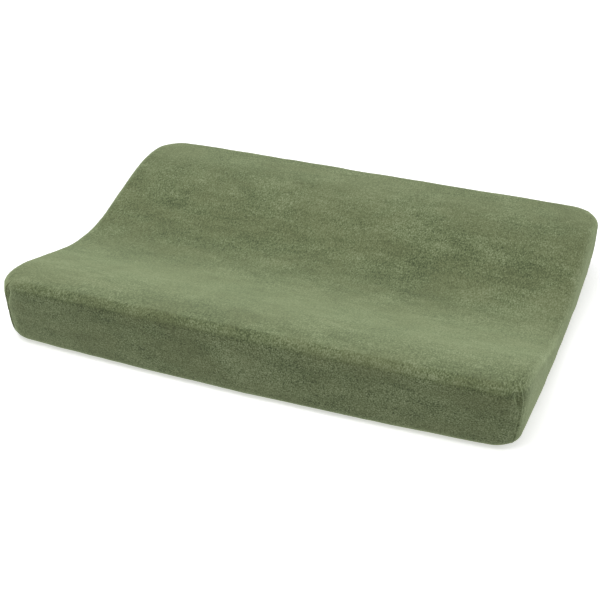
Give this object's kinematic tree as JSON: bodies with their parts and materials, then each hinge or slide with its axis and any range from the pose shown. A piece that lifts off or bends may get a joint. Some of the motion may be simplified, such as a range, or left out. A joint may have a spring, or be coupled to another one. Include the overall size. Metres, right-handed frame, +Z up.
{
  "type": "changing pad",
  "caption": "Contoured baby changing pad: a wave-shaped foam cushion in a zipped wipe-clean ticking, under a fitted velour cover with an elastic hem.",
  "frame": {"origin": "centre of the footprint, on the surface that the pad lies on", "axes": "+X along the long side, +Y from the front long side to the back one, +Z up"},
  "size_m": [0.7, 0.5, 0.096],
  "materials": {
    "velour": "knitted velour, short raised nap",
    "elastic": "woven elastic tape",
    "label": "blank satin label",
    "ticking": "polyurethane-coated knit, slight sheen",
    "foam": "open-cell polyurethane foam",
    "zip_tape": "woven tape",
    "zip_coil": "nylon coil",
    "nickel": "nickel-plated die casting"
  },
  "bodies": {
    "pad": {"foam_core": "foam", "ticking_wrap": "ticking", "ticking_end_left": "ticking", "ticking_end_right": "ticking", "ticking_base_front": "ticking", "ticking_base_rear": "ticking", "zip_tape_front": "zip_tape", "zip_tape_rear": "zip_tape", "zip_coil_front": "zip_coil", "zip_coil_rear": "zip_coil", "zip_top_stop_front": "nickel", "zip_top_stop_rear": "nickel", "zip_bottom_stop": "nickel"},
    "fitted_cover": {"cover_shell": "velour", "cover_skirt": "velour", "hem_casing": "velour", "hem_elastic": "elastic", "care_label": "label", "corner_seam_front_left": "velour", "corner_seam_front_right": "velour", "corner_seam_rear_left": "velour", "corner_seam_rear_right": "velour"},
    "zip_slider": {"zip_slider": "nickel"},
    "zip_pull": {"zip_pull_tab": "nickel"}
  },
  "joints": [
    {"name": "cover_lift", "type": "slide", "parent": "pad", "child": "fitted_cover", "axis": [0, 0, 1], "range_m": [0, 0.18], "deforming": ["cover_skirt", "hem_casing", "hem_elastic", "care_label"]},
    {"name": "zip_slide", "type": "slide", "parent": "pad", "child": "zip_slider", "axis": [1, 0, 0], "range_m": [-0.49, 0]},
    {"name": "zip_pull_swing", "type": "hinge", "parent": "zip_slider", "child": "zip_pull", "pos_m": [0.245, 0, 0.00255], "axis": [0, -1, 0], "range_deg": [0, 170]}
  ]
}
